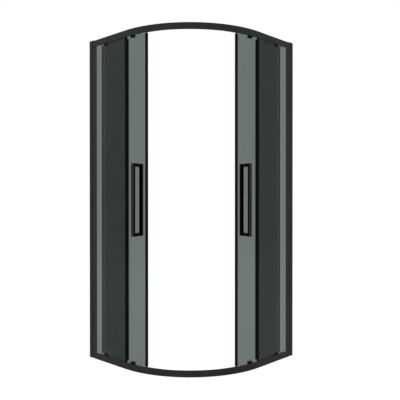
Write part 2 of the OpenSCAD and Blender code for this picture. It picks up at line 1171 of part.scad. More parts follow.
top_rail();
bottom_rail();
wall_channel_left();
wall_channel_right();
channel_cap_left();
channel_cap_right();
side_post_left();
side_post_right();
fixed_glass_left();
fixed_glass_right();
glazing_gasket_left();
glazing_gasket_right();
edge_profile_left();
edge_profile_right();
edge_seal_left();
edge_seal_right();
corner_bracket_top_left();
corner_bracket_top_right();
corner_bracket_bottom_left();
corner_bracket_bottom_right();
roller_track_top_left();
roller_track_top_right();
roller_track_bottom_left();
roller_track_bottom_right();
door_buffers_left();
door_buffers_right();
frame_screws();
adjusting_screws();
door_glass_left();
door_glass_right();
leading_seal_left();
leading_seal_right();
trailing_seal_left();
trailing_seal_right();
outer_handle_left();
outer_handle_right();
inner_handle_left();
inner_handle_right();
handle_studs_left();
handle_studs_right();
clamp_bolts_left();
clamp_bolts_right();
hanger_top_lead_left();
hanger_top_trail_left();
hanger_bottom_lead_left();
hanger_bottom_trail_left();
hanger_top_lead_right();
hanger_top_trail_right();
hanger_bottom_lead_right();
hanger_bottom_trail_right();
roller_top_lead_left();
roller_top_trail_left();
roller_bottom_lead_left();
roller_bottom_trail_left();
roller_top_lead_right();
roller_top_trail_right();
roller_bottom_lead_right();
roller_bottom_trail_right();
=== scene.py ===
# %% [markdown]
# # A corner shower enclosure, dressed for the camera
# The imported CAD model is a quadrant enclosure: two flat fixed panes at the walls' ends, two
# curved sliding doors in the round corner, and curved rails above and below. This lesson loads
# it as a frame that never moves, gives every node a finish, and replaces the pieces whose
# curves, lips and rounded edges a plain solid can't show.

# %% Load the frame
import math

import bpy
import numpy as np
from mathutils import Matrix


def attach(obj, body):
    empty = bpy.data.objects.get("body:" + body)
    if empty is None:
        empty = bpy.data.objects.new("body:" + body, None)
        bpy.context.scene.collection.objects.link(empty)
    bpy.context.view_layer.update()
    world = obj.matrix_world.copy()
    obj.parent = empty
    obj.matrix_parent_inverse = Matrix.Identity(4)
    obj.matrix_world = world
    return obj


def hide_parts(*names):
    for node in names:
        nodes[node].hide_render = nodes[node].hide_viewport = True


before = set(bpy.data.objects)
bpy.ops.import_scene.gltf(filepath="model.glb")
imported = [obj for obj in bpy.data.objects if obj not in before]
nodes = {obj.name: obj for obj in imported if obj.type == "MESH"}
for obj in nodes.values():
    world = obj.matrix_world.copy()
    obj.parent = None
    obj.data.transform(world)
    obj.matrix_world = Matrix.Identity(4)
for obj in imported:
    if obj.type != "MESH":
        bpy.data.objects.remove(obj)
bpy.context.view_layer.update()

# %% [markdown]
# ## The sizes that the pieces share
# Both halves of the enclosure are the same work, mirrored about the diagonal of its footprint.
# So each piece is drawn once, in wall coordinates: u is the distance from the left wall, d the
# depth behind the outer face, z the height. The top rail is the bottom rail turned over. The
# sizes repeat the CAD part's own values, and only roundings, lips and grooves are new. What
# several pieces share stands here, in metres, and a single piece's sizes stand beside it, in
# millimetres.

# %% Sizes of the real thing
MM = 0.001
WIDTH, CORNER_R = 893 * MM, 543 * MM
RAIL_TOP_MM = 1947
RAIL_TOP, MIDDLE_MM = RAIL_TOP_MM * MM, RAIL_TOP_MM / 2
CURVE_START = WIDTH - CORNER_R
DOOR_DEPTH, DOOR_INSET = 34 * MM, 25 * MM
DOOR_R = CORNER_R - DOOR_DEPTH
print("door glass radius", DOOR_R, "curve starts", CURVE_START)

# %% [markdown]
# ### Places round the curve
# A place on a door is an angle round the middle of the corner: 0 where the curve starts, 45 on
# the diagonal, where the closed doors meet. The real tracks are arcs of one larger circle, on
# which all four hangers of a door stand. So a door's travel is a plain turn about that circle's
# middle, which needs no animation here: the frame's bodies do the moving, and the pieces only
# have to be drawn where their body rests. Lengths along the glass become angles round it: half
# the gap between the closed doors, the leading seal's width and its grip on the glass, the
# glass behind the start of the curve, and the trailing seal's wall behind that.


# %% Angles on the doors
def arc_deg(length, radius):
    """The angle in degrees that a length makes round a circle: the length over the radius."""
    return math.degrees(length / radius)


DIAGONAL = 45
HALF_LEAD_GAP = 0.25 * MM
LEAD_SEAL_W, LEAD_SEAL_BITE = 13 * MM, 5 * MM
DOOR_BACK, TRAIL_SEAL_WALL = 25 * MM, 1.5 * MM
LEAD_END = DIAGONAL - arc_deg(HALF_LEAD_GAP, DOOR_R)
LEAD_SEAL = LEAD_END - arc_deg(LEAD_SEAL_W, DOOR_R)
LEAD_GLASS = LEAD_SEAL + arc_deg(LEAD_SEAL_BITE, DOOR_R)
TRAIL_GLASS = -arc_deg(DOOR_BACK, DOOR_R)
TRAIL_END = TRAIL_GLASS - arc_deg(TRAIL_SEAL_WALL, DOOR_R)
print("door glass from", round(TRAIL_GLASS, 2), "to", round(LEAD_GLASS, 2), "degrees")

# %% The tracks' circle
HANGER_DEGS = (5, 34)
TRACK_SHIFT = 275 * MM
MID_DEG = sum(HANGER_DEGS) / 2
mid, half_span = math.radians(MID_DEG), math.radians((HANGER_DEGS[1] - HANGER_DEGS[0]) / 2)
TRACK_X = CURVE_START - TRACK_SHIFT * math.sin(mid)
TRACK_Y = CORNER_R + TRACK_SHIFT * math.cos(mid)
TRACK_MIDDLE = (TRACK_X, TRACK_Y)
along = TRACK_SHIFT + DOOR_R * math.cos(half_span)
across = DOOR_R * math.sin(half_span)
TRACK_R = math.hypot(along, across)
track_half = math.degrees(math.atan2(across, along))
TRACK_DEGS = {"trail": MID_DEG - track_half, "lead": MID_DEG + track_half}
print("track radius", round(TRACK_R, 5), "middle", round(TRACK_X, 5), round(TRACK_Y, 5))

# %% The doors' opening, and the ends of the tracks
FULL_OPEN, RIGHT_SHORT = 20.15, 0.8
OPEN_DEG = {"left": FULL_OPEN, "right": FULL_OPEN - RIGHT_SHORT}
PLATE_REACH, BUFFER_L = 12.4 * MM, 3.5 * MM
PLATE_DEG, BUFFER_DEG = arc_deg(PLATE_REACH, TRACK_R), arc_deg(BUFFER_L, TRACK_R)
STOP_DEGS = (TRACK_DEGS["trail"] - FULL_OPEN - PLATE_DEG - BUFFER_DEG,
             TRACK_DEGS["lead"] + PLATE_DEG + BUFFER_DEG)
print("doors open by", [round(d, 2) for d in OPEN_DEG.values()], "degrees")
print("tracks' stops at", [round(s, 2) for s in STOP_DEGS], "degrees")

# %% [markdown]
# ## Places
# A piece goes through three steps on its way into the room: a closed door swings open about
# the middle of its tracks, a half moves to the left wall or is mirrored to the right one, and
# a piece of the bottom rail may turn over to the top rail. Object transforms could do this, but
# a mirrored object turns its faces inside out, so the points themselves are placed. Each step
# takes and returns one whole array of points.


# %% From wall coordinates to the room
def swing(points, side):
    """Opens a closed door: each point's offset from the tracks' middle is turned clockwise by
    the side's opening angle, and the middle is added again."""
    a = -math.radians(OPEN_DEG[side])
    x, y = points[..., 0] - TRACK_X, points[..., 1] - TRACK_Y
    opened = (
        TRACK_X + x * math.cos(a) - y * math.sin(a),
        TRACK_Y + x * math.sin(a) + y * math.cos(a),
    )
    return np.stack((*opened, points[..., 2]), -1)


def place(points, side, top=False, door=False):
    """Wall coordinates to the room: half the width is taken off u and d, and for the top rail z
    is taken off the rails' top. For the right half, x becomes minus y, and y minus x."""
    points = swing(points, side) if door else points
    x, y, z = points[..., 0] - WIDTH / 2, points[..., 1] - WIDTH / 2, points[..., 2]
    z = RAIL_TOP - z if top else z
    return np.stack((x, y, z) if side == "left" else (-y, -x, z), -1)


def polar(r, deg, centre=(CURVE_START, CORNER_R)):
    """Points (u, d) at a radius and an angle from the start of the curve: the centre's u plus
    the radius times the sine, and the centre's d less the radius times the cosine."""
    a = np.radians(deg)
    return centre[0] + r * np.sin(a), centre[1] - r * np.cos(a)


meeting = np.array((*polar(DOOR_R, DIAGONAL), 0.0))
print("the closed doors meet at", place(meeting, "left").round(4), "in the room")

# %% [markdown]
# ## Skins
# Nearly everything here is an extruded, bent or turned profile. Blender could bevel a curve or
# spin an outline for each, but one function over rings of points makes them all and puts every
# corner exactly where the CAD part has it. It joins neighbouring rings with quads, and closes
# the two ends with a flat face or joins the last ring to the first. Mirrored pieces would come
# out inside out, so the signed volume of each shell decides which way its faces point.


# %% A skin over rings of points
def skin(rings, loop=False):
    """Vertices and faces over n rings of m points: a quad joins two neighbouring points of a
    ring to the same two of the next. The volume is a sixth of the sum, over all triangles, of
    the first corner times the cross product of the other two, and only its sign is used."""
    n, m = rings.shape[:2]
    i, j = np.meshgrid(np.arange(n if loop else n - 1), np.arange(m), indexing="ij")
    i2, j2 = (i + 1) % n, (j + 1) % m
    quads = np.stack((i * m + j, i * m + j2, i2 * m + j2, i2 * m + j), -1).reshape(-1, 4)
    points = rings.reshape(-1, 3)
    a, b, c, d = (points[quads[:, k]] for k in range(4))
    volume = np.einsum("ij,ij->", a, np.cross(b, c)) + np.einsum("ij,ij->", a, np.cross(c, d))
    ends = [] if loop else [np.arange(m)[::-1], np.arange(n * m - m, n * m)]
    for end in ends:
        b, c = points[end[1:-1]], points[end[2:]]
        volume += np.einsum("ij,ij->", np.broadcast_to(points[end[0]], b.shape), np.cross(b, c))
    faces = [*quads, *ends]
    return points, [f[::-1] for f in faces] if volume < 0 else faces


# %% Rounded outlines
EDGE_SHARE = 0.45


def rounded(corners, radius, steps=3):
    """Rounds the corners of a closed outline in millimetres, and returns it in metres. Each
    corner becomes a quadratic curve from one radius before it to one radius after it, but no
    more than a share of the edge. The curve's point at t is the start times the square of 1 - t,
    plus the corner times 2 t (1 - t), plus the end times the square of t."""
    p = np.array(corners, float)
    before, after = np.roll(p, 1, 0) - p, np.roll(p, -1, 0) - p
    r = np.broadcast_to(radius, len(p))[:, None]
    near = np.minimum(r, EDGE_SHARE * np.linalg.norm(before, axis=1, keepdims=True))
    far = np.minimum(r, EDGE_SHARE * np.linalg.norm(after, axis=1, keepdims=True))
    a = p + before / np.linalg.norm(before, axis=1, keepdims=True) * near
    b = p + after / np.linalg.norm(after, axis=1, keepdims=True) * far
    t = np.linspace(0, 1, steps + 1)[None, :, None]
    curve = (1 - t) ** 2 * a[:, None] + 2 * t * (1 - t) * p[:, None] + t**2 * b[:, None]
    return curve.reshape(-1, 2) * MM


# %% Profiles carried up and round
def carry_up(profile, low, high):
    """A plan outline (u, d) carried straight up: one ring at the low height, one at the high."""
    return np.stack([np.column_stack((profile, np.full(len(profile), z))) for z in (low, high)])


def carry_round(profile, degs):
    """An outline (radius, height) carried round the corner: a ring of polar points for each
    angle, with the heights as they are."""
    u, d = polar(profile[None, :, 0], np.asarray(degs)[:, None])
    return np.stack((u, d, np.broadcast_to(profile[None, :, 1], u.shape)), -1)


# %% Turned profiles
TURN_STEPS = 36


def turned(rows, origin, axis):
    """Rows of (distance along the axis, radius) in millimetres, each made a ring: the origin,
    plus the axis times the distance, plus a turning spoke times the radius. The last two rows
    are a socket's and follow a hexagon: the radius over the cosine of the angle from the middle
    of its flat. The steps are a multiple of 6, so the hexagon's corners are true."""
    rows = np.array(rows, float) * MM
    angle = np.linspace(0, 2 * np.pi, TURN_STEPS, endpoint=False)
    axis = np.array(axis, float)
    first = np.cross((0, 0, 1) if abs(axis[2]) < 0.5 else (0, 1, 0), axis)
    spoke = np.cos(angle)[:, None] * first + np.sin(angle)[:, None] * np.cross(axis, first)
    r = np.repeat(rows[:, 1:], TURN_STEPS, 1)
    r[-2:] /= np.cos(angle % (np.pi / 3) - np.pi / 6)
    return np.array(origin) * MM + rows[:, :1, None] * axis + r[..., None] * spoke


# %% [markdown]
# ## Pieces
# A piece is one or more shells in one mesh, shaded smooth except across sharp edges, with a
# Weighted Normal modifier so that the large faces stay flat beside their rounded edges. Its
# object stays at the origin, rides on a CAD body and hides the nodes it stands for.


# %% Make a piece
def piece(name, shells, material, body, replaces=(), sharp=40, lit_marks=None):
    """Joins shells (vertices, faces) into one mesh: each shell's faces count on from the points
    before it. Lit marks are 0 to 1 per face, and the handles' enamel paints shade where they are
    0."""
    starts = np.cumsum([0] + [len(v) for v, _ in shells])
    vertices = np.concatenate([v for v, _ in shells])
    faces = [(np.asarray(f) + s).tolist() for (_, fs), s in zip(shells, starts) for f in fs]
    mesh = bpy.data.meshes.new(name)
    mesh.from_pydata(vertices.tolist(), [], faces)
    mesh.materials.append(material)
    mesh.polygons.foreach_set("use_smooth", np.ones(len(mesh.polygons), bool))
    mesh.set_sharp_from_angle(angle=math.radians(sharp))
    if lit_marks is not None:
        mesh.attributes.new("lit_marks", "FLOAT", "FACE").data.foreach_set("value", lit_marks)
    obj = bpy.data.objects.new(name, mesh)
    bpy.context.scene.collection.objects.link(obj)
    normals = obj.modifiers.new("Even normals", "WEIGHTED_NORMAL")
    normals.keep_sharp = True
    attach(obj, body)
    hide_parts(*replaces)
    print(f"{name}: {len(vertices)} points, {len(faces)} faces, on {body}")


def both(name, make, material, door=False, sharp=40, lit_marks=None):
    """The same rings placed in the left and the right half, each replacing its node."""
    for side in ("left", "right"):
        shell = skin(place(make(), side, door=door))
        on = f"door_{side}" if door else "frame"
        piece(f"{name}_{side}.dressed", [shell], material, on, [f"{name}_{side}"], sharp,
              lit_marks)


# %% [markdown]
# ## Finishes
# Each finish is one Principled shader with a little unevenness worked out from the surface's
# own place in the room, in metres. Painted pictures would need unwrapped meshes, while a noise
# over the place fits every piece at its true scale. The real thing is powder-coated aluminium,
# black rubber, smoked safety glass, a few steel screws and white plastic rollers.


# %% New materials and noise
def finish(name, base, roughness, metallic=0.0, specular=0.5):
    """A new material with its steady values set on the shader's own sockets."""
    material = bpy.data.materials.new(name)
    material.use_nodes = True
    shader = material.node_tree.nodes["Principled BSDF"]
    shader.inputs["Base Color"].default_value = (*base, 1)
    shader.inputs["Roughness"].default_value = roughness
    shader.inputs["Metallic"].default_value = metallic
    shader.inputs["Specular IOR Level"].default_value = specular
    return material, shader


def noise(material, scale, stretch=(1, 1, 1), detail=2.0):
    """A noise over Object coordinates, with a scale per metre. A stretch under 1 draws it out
    along that axis."""
    tree = material.node_tree
    place_node = tree.nodes.new("ShaderNodeTexCoord")
    mapping = tree.nodes.new("ShaderNodeMapping")
    mapping.inputs["Scale"].default_value = stretch
    cloud = tree.nodes.new("ShaderNodeTexNoise")
    cloud.inputs["Scale"].default_value = scale
    cloud.inputs["Detail"].default_value = detail
    tree.links.new(place_node.outputs["Object"], mapping.inputs["Vector"])
    tree.links.new(mapping.outputs["Vector"], cloud.inputs["Vector"])
    return cloud.outputs["Fac"]


# %% Colour, gloss and relief from a noise
NOISE_LOW, NOISE_HIGH = 0.3, 0.7


def vary_colour(material, shader, value, dark, light):
    """Base colour that runs from dark to light over the part of its range that a noise fills."""
    tree = material.node_tree
    ramp = tree.nodes.new("ShaderNodeValToRGB")
    ramp.color_ramp.elements[0].position = NOISE_LOW
    ramp.color_ramp.elements[1].position = NOISE_HIGH
    ramp.color_ramp.elements[0].color = (*dark, 1)
    ramp.color_ramp.elements[1].color = (*light, 1)
    tree.links.new(value, ramp.inputs["Fac"])
    tree.links.new(ramp.outputs["Color"], shader.inputs["Base Color"])


def vary_roughness(material, shader, value, low, high):
    """Roughness that runs from low to high over the part of its range that a noise fills."""
    tree = material.node_tree
    spread = tree.nodes.new("ShaderNodeMapRange")
    spread.inputs["From Min"].default_value = NOISE_LOW
    spread.inputs["From Max"].default_value = NOISE_HIGH
    spread.inputs["To Min"].default_value = low
    spread.inputs["To Max"].default_value = high
    tree.links.new(value, spread.inputs["Value"])
    tree.links.new(spread.outputs["Result"], shader.inputs["Roughness"])


def relief(material, shader, value, height, strength):
    """Fine relief of the given height in metres."""
    tree = material.node_tree
    bump = tree.nodes.new("ShaderNodeBump")
    bump.inputs["Strength"].default_value = strength
    bump.inputs["Distance"].default_value = height
    tree.links.new(value, bump.inputs["Height"])
    tree.links.new(bump.outputs["Normal"], shader.inputs["Normal"])


def shades(base, spread):
    """A colour made darker and lighter by a share: the colour times 1 - spread and 1 + spread."""
    return (tuple(c * k for c in base) for k in (1 - spread, 1 + spread))


# %% [markdown]
# ### Powder coat, plastic, rubber and metal
# Powder coat melts into a skin with a very fine orange peel, so its gloss is broken up at half
# a millimetre. Extruded rubber and drawn metal have lines along their length instead, which the
# same noise gives once it is drawn out: upwards for the seals, and level for the tracks.

# %% Sprayed, moulded and cast finishes
SLOW, SHEEN = 9, 120
COAT_SHEEN = 0.05
PEEL_HEIGHT, PEEL_STRENGTH = 0.00003, 0.5


def coated(name, base, roughness, spread=0.1, peel=2200, specular=0.5):
    """Slow change in colour, quicker change in gloss, and fine peel in the relief."""
    material, shader = finish(name, base, roughness, specular=specular)
    vary_colour(material, shader, noise(material, SLOW), *shades(base, spread))
    gloss = noise(material, SHEEN)
    vary_roughness(material, shader, gloss, roughness - COAT_SHEEN, roughness + COAT_SHEEN)
    relief(material, shader, noise(material, peel, detail=1), PEEL_HEIGHT, PEEL_STRENGTH)
    return material


# %% Drawn and extruded finishes
SLOW_SHEEN = 60
LINE_SPREAD, LINE_SHEEN = 0.15, 0.06
LINE_HEIGHT, LINE_STRENGTH = 0.00002, 0.6


def drawn(name, base, roughness, metallic, stretch, lines, specular=0.5):
    """Lines of drawing or extrusion along one direction, in the colour and the relief."""
    material, shader = finish(name, base, roughness, metallic, specular)
    streak = noise(material, lines, stretch, detail=3)
    vary_colour(material, shader, streak, *shades(base, LINE_SPREAD))
    gloss = noise(material, SLOW_SHEEN)
    vary_roughness(material, shader, gloss, roughness - LINE_SHEEN, roughness + LINE_SHEEN)
    relief(material, shader, streak, LINE_HEIGHT, LINE_STRENGTH)
    return material


# %% Painted shade for unmarked faces
def paint_shade_on_unmarked(material, dark):
    """Painted shade: faces marked 1 keep the finish's lit colour, and the others take a dark
    colour that stands in for shade.
    """
    tree = material.node_tree
    base = tree.nodes["Principled BSDF"].inputs["Base Color"]
    lit_marks, mix = tree.nodes.new("ShaderNodeAttribute"), tree.nodes.new("ShaderNodeMix")
    lit_marks.attribute_name = "lit_marks"
    mix.data_type = "RGBA"
    mix.inputs["A"].default_value = (*dark, 1)
    colour = base.links[0].from_socket
    tree.links.new(lit_marks.outputs["Fac"], mix.inputs["Factor"])
    tree.links.new(colour, mix.inputs["B"])
    tree.links.new(mix.outputs["Result"], base)


# %% Opaque finishes
UPRIGHT, LEVEL = (1, 1, 0.01), (0.03, 0.03, 1)
cad_materials = len(bpy.data.materials)
powder = coated("powder coat, anthracite", (0.0220, 0.0230, 0.0225), 0.42, specular=0.06)
trim = coated("powder coat, black", (0.0024, 0.0026, 0.0025), 0.5, specular=0.02)
plastic = coated("moulded plastic, anthracite", (0.024, 0.025, 0.0245), 0.5, spread=0.12,
                 peel=1500, specular=0.1)
handle_paint_and_shade = coated("handle enamel and painted shade", (0.0265, 0.0305, 0.0295), 0.36, spread=0.08, peel=2600,
                      specular=0.02)
cast_paint = coated("die-cast hanger, black", (0.009, 0.0095, 0.0092), 0.48, spread=0.15,
                    peel=1200, specular=0.15)
rubber = drawn("extruded rubber, black", (0.0035, 0.0039, 0.0037), 0.7, metallic=0,
               stretch=UPRIGHT, lines=1200, specular=0.06)
anodised = drawn("anodised track, black", (0.01, 0.0105, 0.0105), 0.4, metallic=0,
                 stretch=LEVEL, lines=700, specular=0.3)
steel = drawn("stainless screws", (0.42, 0.42, 0.41), 0.3, metallic=1.0, stretch=LEVEL,
              lines=1500)
cast_metal = coated("die-cast bracket", (0.09, 0.092, 0.092), 0.5, spread=0.15, peel=900)
# Painted shade: every face of the handles except the grip's face away from the door takes this
# near-black.
paint_shade_on_unmarked(handle_paint_and_shade, (0.0022, 0.0024, 0.0024))
acetal = coated("roller plastic, white", (0.62, 0.62, 0.58), 0.32, spread=0.04, peel=1800)
print("opaque finishes", len(bpy.data.materials) - cad_materials)

# %% [markdown]
# ### Smoked glass
# Real glass bends light at its faces and swallows some of it inside. A Principled shader with
# full transmission does both, but Cycles would then throw its shadow as if it were solid. So for
# shadow rays alone the pane is clear and tinted: each of its two faces takes the square root of
# the tint, as the Principled shader does. Real glass has an index of refraction of about 1.5.
# In this room, which is white all round, that would mirror far more than the photograph shows,
# so the index is lower. The fixed panes are a little paler than the doors.

# %% Glass
GLASS_IOR = 1.14
ROLLING = (1, 1, 0.15)
ROLLING_SCALE, ROLLING_SPREAD = 3, 0.015


def smoked(name, tint):
    """Smoked glass, with a faint unevenness from the rolling of the sheet."""
    material, shader = finish(name, tint, 0.0)
    shader.inputs["Transmission Weight"].default_value = 1.0
    shader.inputs["IOR"].default_value = GLASS_IOR
    uneven = noise(material, ROLLING_SCALE, ROLLING)
    vary_colour(material, shader, uneven, *shades(tint, ROLLING_SPREAD))
    tree = material.node_tree
    through = tree.nodes.new("ShaderNodeBsdfTransparent")
    through.inputs["Color"].default_value = (*(c**0.5 for c in tint), 1)
    path = tree.nodes.new("ShaderNodeLightPath")
    mix = tree.nodes.new("ShaderNodeMixShader")
    output = tree.nodes["Material Output"]
    tree.links.new(path.outputs["Is Shadow Ray"], mix.inputs["Fac"])
    tree.links.new(shader.outputs["BSDF"], mix.inputs[1])
    tree.links.new(through.outputs["BSDF"], mix.inputs[2])
    tree.links.new(mix.outputs["Shader"], output.inputs["Surface"])
    return material


fixed_tint = smoked("smoked glass, fixed panes", (0.154, 0.175, 0.168))
door_tint = smoked("smoked glass, doors", (0.144, 0.174, 0.163))
print("finishes with the glass", len(bpy.data.materials) - cad_materials)

# %% [markdown]
# ## Rails
# A rail is one aluminium profile: a skirt in front, a rib behind the fixed panes, a flange at
# the back, all standing on a thin wall. It runs straight from each side post and then round
# the corner. A curve with this outline as its bevel could draw it too. Here the outline is
# carried along a path of frames, each with a place on the outer face and a direction inwards,
# because that keeps every corner on the CAD part's own lines.

# %% The rails' path and outline
RAIL_STEPS = 91
POST_END = 40


def rail_path():
    """Places on the outer face and inward directions, from the left post to the right one. Round
    the corner a place is the middle plus the radius times (sine, minus cosine) of its angle, and
    inward is the opposite way. The two ends lie on the straights."""
    a = np.radians(np.linspace(0, 90, RAIL_STEPS))
    outward = np.stack((np.sin(a), -np.cos(a)), -1)
    middle = np.array((CURVE_START - WIDTH / 2, CORNER_R - WIDTH / 2))
    left_end = np.array([[POST_END * MM - WIDTH / 2, -WIDTH / 2]])
    right_end = -left_end[:, ::-1]
    places = np.concatenate((left_end, middle + CORNER_R * outward, right_end))
    inward = np.concatenate(([[0, 1]], -outward, [[-1, 0]]))
    return places, inward


DEPTH, WALL, FLANGE, SKIRT = 60, 2, 7, 38.5
RIB_FRONT, RIB_BACK, RIB_H = 15, 16.5, 20
RAIL_OUTLINE = rounded(
    [(0, 0), (DEPTH, 0), (DEPTH, FLANGE), (DEPTH - WALL, FLANGE), (DEPTH - WALL, WALL),
     (RIB_BACK, WALL), (RIB_BACK, RIB_H), (RIB_FRONT, RIB_H), (RIB_FRONT, WALL),
     (WALL, WALL), (WALL, SKIRT), (0, SKIRT)],
    [0.8, 0.8, 0.5, 0.5, 0.8, 0.8, 0.4, 0.4, 0.8, 0.8, 0.7, 0.7],
)
print("rail outline", len(RAIL_OUTLINE), "points, path", RAIL_STEPS + 2, "places")


# %% The two rails
def rail_rings(top):
    """A ring for each place: the place, plus inward times each outline point's depth, at that
    point's height. For the top rail the height is taken off the rails' top."""
    places, inward = rail_path()
    plan = places[:, None] + RAIL_OUTLINE[None, :, :1] * inward[:, None]
    z = RAIL_TOP - RAIL_OUTLINE[:, 1] if top else RAIL_OUTLINE[:, 1]
    return np.concatenate((plan, np.broadcast_to(z[None, :, None], (*plan.shape[:2], 1))), -1)


for name, top in (("top_rail", True), ("bottom_rail", False)):
    piece(f"{name}.dressed", [skin(rail_rings(top))], powder, "frame", [name])

# %% [markdown]
# ## Panes
# Safety glass is ground to a small flat arris on every edge before it is toughened. A Bevel
# modifier could cut the edges, but would also cut the short ones at the ends. So each pane is a
# slab whose outline has its corners cut off: a fixed pane's plan is carried up, and a door
# pane's section is carried round the curve. The edges at the two ends of that way stay plain,
# because the rails hide a fixed pane's and the seals hide a door pane's.

# %% Glass panes
ARRIS, HALF_GLASS = 0.8, 3
FIXED_LOW, FIXED_HIGH = (43, 7), (345, 13)
PANE_INSET = 10
PANE_STEPS = 97


def slab(low, high):
    """Outline of a rectangle between two corners, with its corners cut off, in metres."""
    (a, c), (b, d), e = low, high, ARRIS
    corners = [(a + e, c), (b - e, c), (b, c + e), (b, d - e), (b - e, d), (a + e, d), (a, d - e),
               (a, c + e)]
    return np.array(corners) * MM


def fixed_pane():
    """The flat pane's plan outline, from inside the side post to inside the edge profile,
    carried up."""
    inset = PANE_INSET * MM
    return carry_up(slab(FIXED_LOW, FIXED_HIGH), inset, RAIL_TOP - inset)


def door_pane():
    """The curved pane's outline of radius and height, carried round the curve."""
    r, z = DOOR_R / MM, DOOR_INSET / MM
    outline = slab((r - HALF_GLASS, z), (r + HALF_GLASS, RAIL_TOP / MM - z))
    return carry_round(outline, np.linspace(TRAIL_GLASS, LEAD_GLASS, PANE_STEPS))


both("fixed_glass", fixed_pane, fixed_tint, sharp=30)
both("door_glass", door_pane, door_tint, door=True, sharp=30)

# %% [markdown]
# ## Seals
# The seals are extruded rubber, cut to length. The leading seal holds a magnet in a block that
# grips the door's edge, the trailing seal is a small clip, and the edge seal is a soft block on
# the free end of the fixed pane. An extrusion is the same all the way up, so each is one plan
# outline carried up, and the outline has the lips and grooves.


# %% Leading and trailing seals
def on_curve(outline, start):
    """An outline (along the door, outward) bent round the door's curve: the angle is the start
    plus the length along over the radius, and the radius is the door's plus the part outward."""
    degs = start + np.degrees(outline[:, 0] / DOOR_R)
    return np.stack(polar(DOOR_R + outline[:, 1], degs), -1)


def door_seal(outline, start):
    """A seal's outline bent round the curve and carried up along the door glass."""
    return carry_up(on_curve(outline, start), DOOR_INSET, RAIL_TOP - DOOR_INSET)


def leading_seal():
    """Two legs on the glass, a groove, and the block with the magnet."""
    half = [(0, 2.9), (0, 5.6), (1.2, 7), (7, 7), (7.3, 6.4), (8, 6.4), (8.3, 7), (13, 7)]
    outline = half + [(x, -y) for x, y in half[::-1]] + [(4.9, -2.9), (4.9, 2.9)]
    return door_seal(rounded(outline, 0.5, steps=2), LEAD_SEAL)


def trailing_seal():
    """A clip with two tapering legs."""
    half = [(0, 4.5), (6.5, 4.5), (8, 3.6), (8, 2.9), (1.6, 2.9)]
    outline = half + [(x, -y) for x, y in half[::-1]]
    return door_seal(rounded(outline, 0.5, steps=2), TRAIL_END)


both("leading_seal", leading_seal, rubber, door=True)
both("trailing_seal", trailing_seal, rubber, door=True)

# %% Edge seals
EDGE_SEAL_INSET = 48


def edge_seal():
    """A soft block with a rounded corner and two grooves towards the door, carried up."""
    corners = [(349, 7), (357, 7), (357, 11), (356.3, 11.6), (357, 12.2), (357, 14.6),
               (356.3, 15.2), (357, 15.8), (357, 20), (349, 20)]
    outline = rounded(corners, [0.4, 0.5, 0.3, 0.3, 0.3, 0.3, 0.3, 0.3, 2.2, 0.5])
    inset = EDGE_SEAL_INSET * MM
    return carry_up(outline, inset, RAIL_TOP - inset)


both("edge_seal", edge_seal, rubber)

# %% [markdown]
# ## Handles
# Each handle is a square bar made into a D with mitred corners, one outside and one inside the
# door, joined by studs through the glass. Three blocks joined by booleans could make it. But a
# mitre is just a section tilted by 45 degrees, so a ring of the bar lies at each foot and,
# tilted, at each corner. The grip's face is paler than the bar's sides, whose darkness is painted
# shade: each face of the mesh has a mark, and the enamel darkens the ones that aren't marked.

# %% The bar's section, and the lit marks
BAR, BAR_ROUND = 18, 1.6
ON_FACE = 1.5


def bar_section():
    """The square bar's outline (across from its outer edge, along the door), rounded."""
    corners = [(0, -BAR / 2), (BAR, -BAR / 2), (BAR, BAR / 2), (0, BAR / 2)]
    return rounded(corners, BAR_ROUND, steps=4) / MM


def lit_grip_face():
    """1 for the grip's quads on its face away from the door, which keep the lit colour, and 0 for
    all other quads and the two ends, which take painted shade. A quad is on that face if its two
    edges' distances from it add up to little."""
    from_face = bar_section()[:, 0]
    quads = np.zeros((3, len(from_face)), "f4")
    quads[1] = from_face + np.roll(from_face, -1) < ON_FACE
    return np.append(quads.ravel(), (0, 0)).astype("f4")


print("marked faces on a grip", int(lit_grip_face().sum()))

# %% Square D handles
HALF_HANDLE, SETBACK = 208, 68
FOOT, REACH = 4, 52
HANDLE_DEG = DIAGONAL - arc_deg(SETBACK * MM, DOOR_R)
print("handles at", round(HANDLE_DEG, 2), "degrees")


def handle(foot, face):
    """Rings from foot to foot. At each station a section point is the bar's outer edge, plus the
    way to its inner edge times the point's share of the bar's width, and the point's place along
    the door is added in the direction of the glass there."""
    low, high, bar = MIDDLE_MM - HALF_HANDLE, MIDDLE_MM + HALF_HANDLE, math.copysign(BAR, face)
    stations = [((foot, low), (foot, low + BAR)), ((face, low), (face - bar, low + BAR)),
                ((face, high), (face - bar, high - BAR)), ((foot, high), (foot, high - BAR))]
    section = bar_section()
    outer, inner = (np.array([s[k] for s in stations], float) for k in (0, 1))
    s, t = section[None, :, :1] / BAR, section[None, :, 1]
    reach_z = (outer[:, None] + s * (inner - outer)[:, None]) * MM
    a = math.radians(HANDLE_DEG)
    u, d = polar(DOOR_R + reach_z[..., 0], HANDLE_DEG)
    return np.stack((u + t * MM * math.cos(a), d + t * MM * math.sin(a), reach_z[..., 1]), -1)


# The lit marks keep the grip's face lit, and the enamel paints shade on the bar's other faces.
for kind, way in (("outer", 1), ("inner", -1)):
    both(f"{kind}_handle", lambda: handle(FOOT * way, REACH * way), handle_paint_and_shade,
         door=True, lit_marks=lit_grip_face())

# %% [markdown]
# ## Rollers
# A roller is turned from white plastic: a crowned tyre, a thin disc sunk between rim and hub,
# and a bore for the axle. Its outline is closed, so it is carried right round its own axle.
# Blender's Screw modifier would do the same, but turns about an object's own axis, and these
# meshes stay at the origin, while every axle stands elsewhere.

# %% Turned rollers
ROLLER_W, ROLLER_IN, AXLE_Z = 6, 8.5, 12.2
ROLLER_STEPS = 48


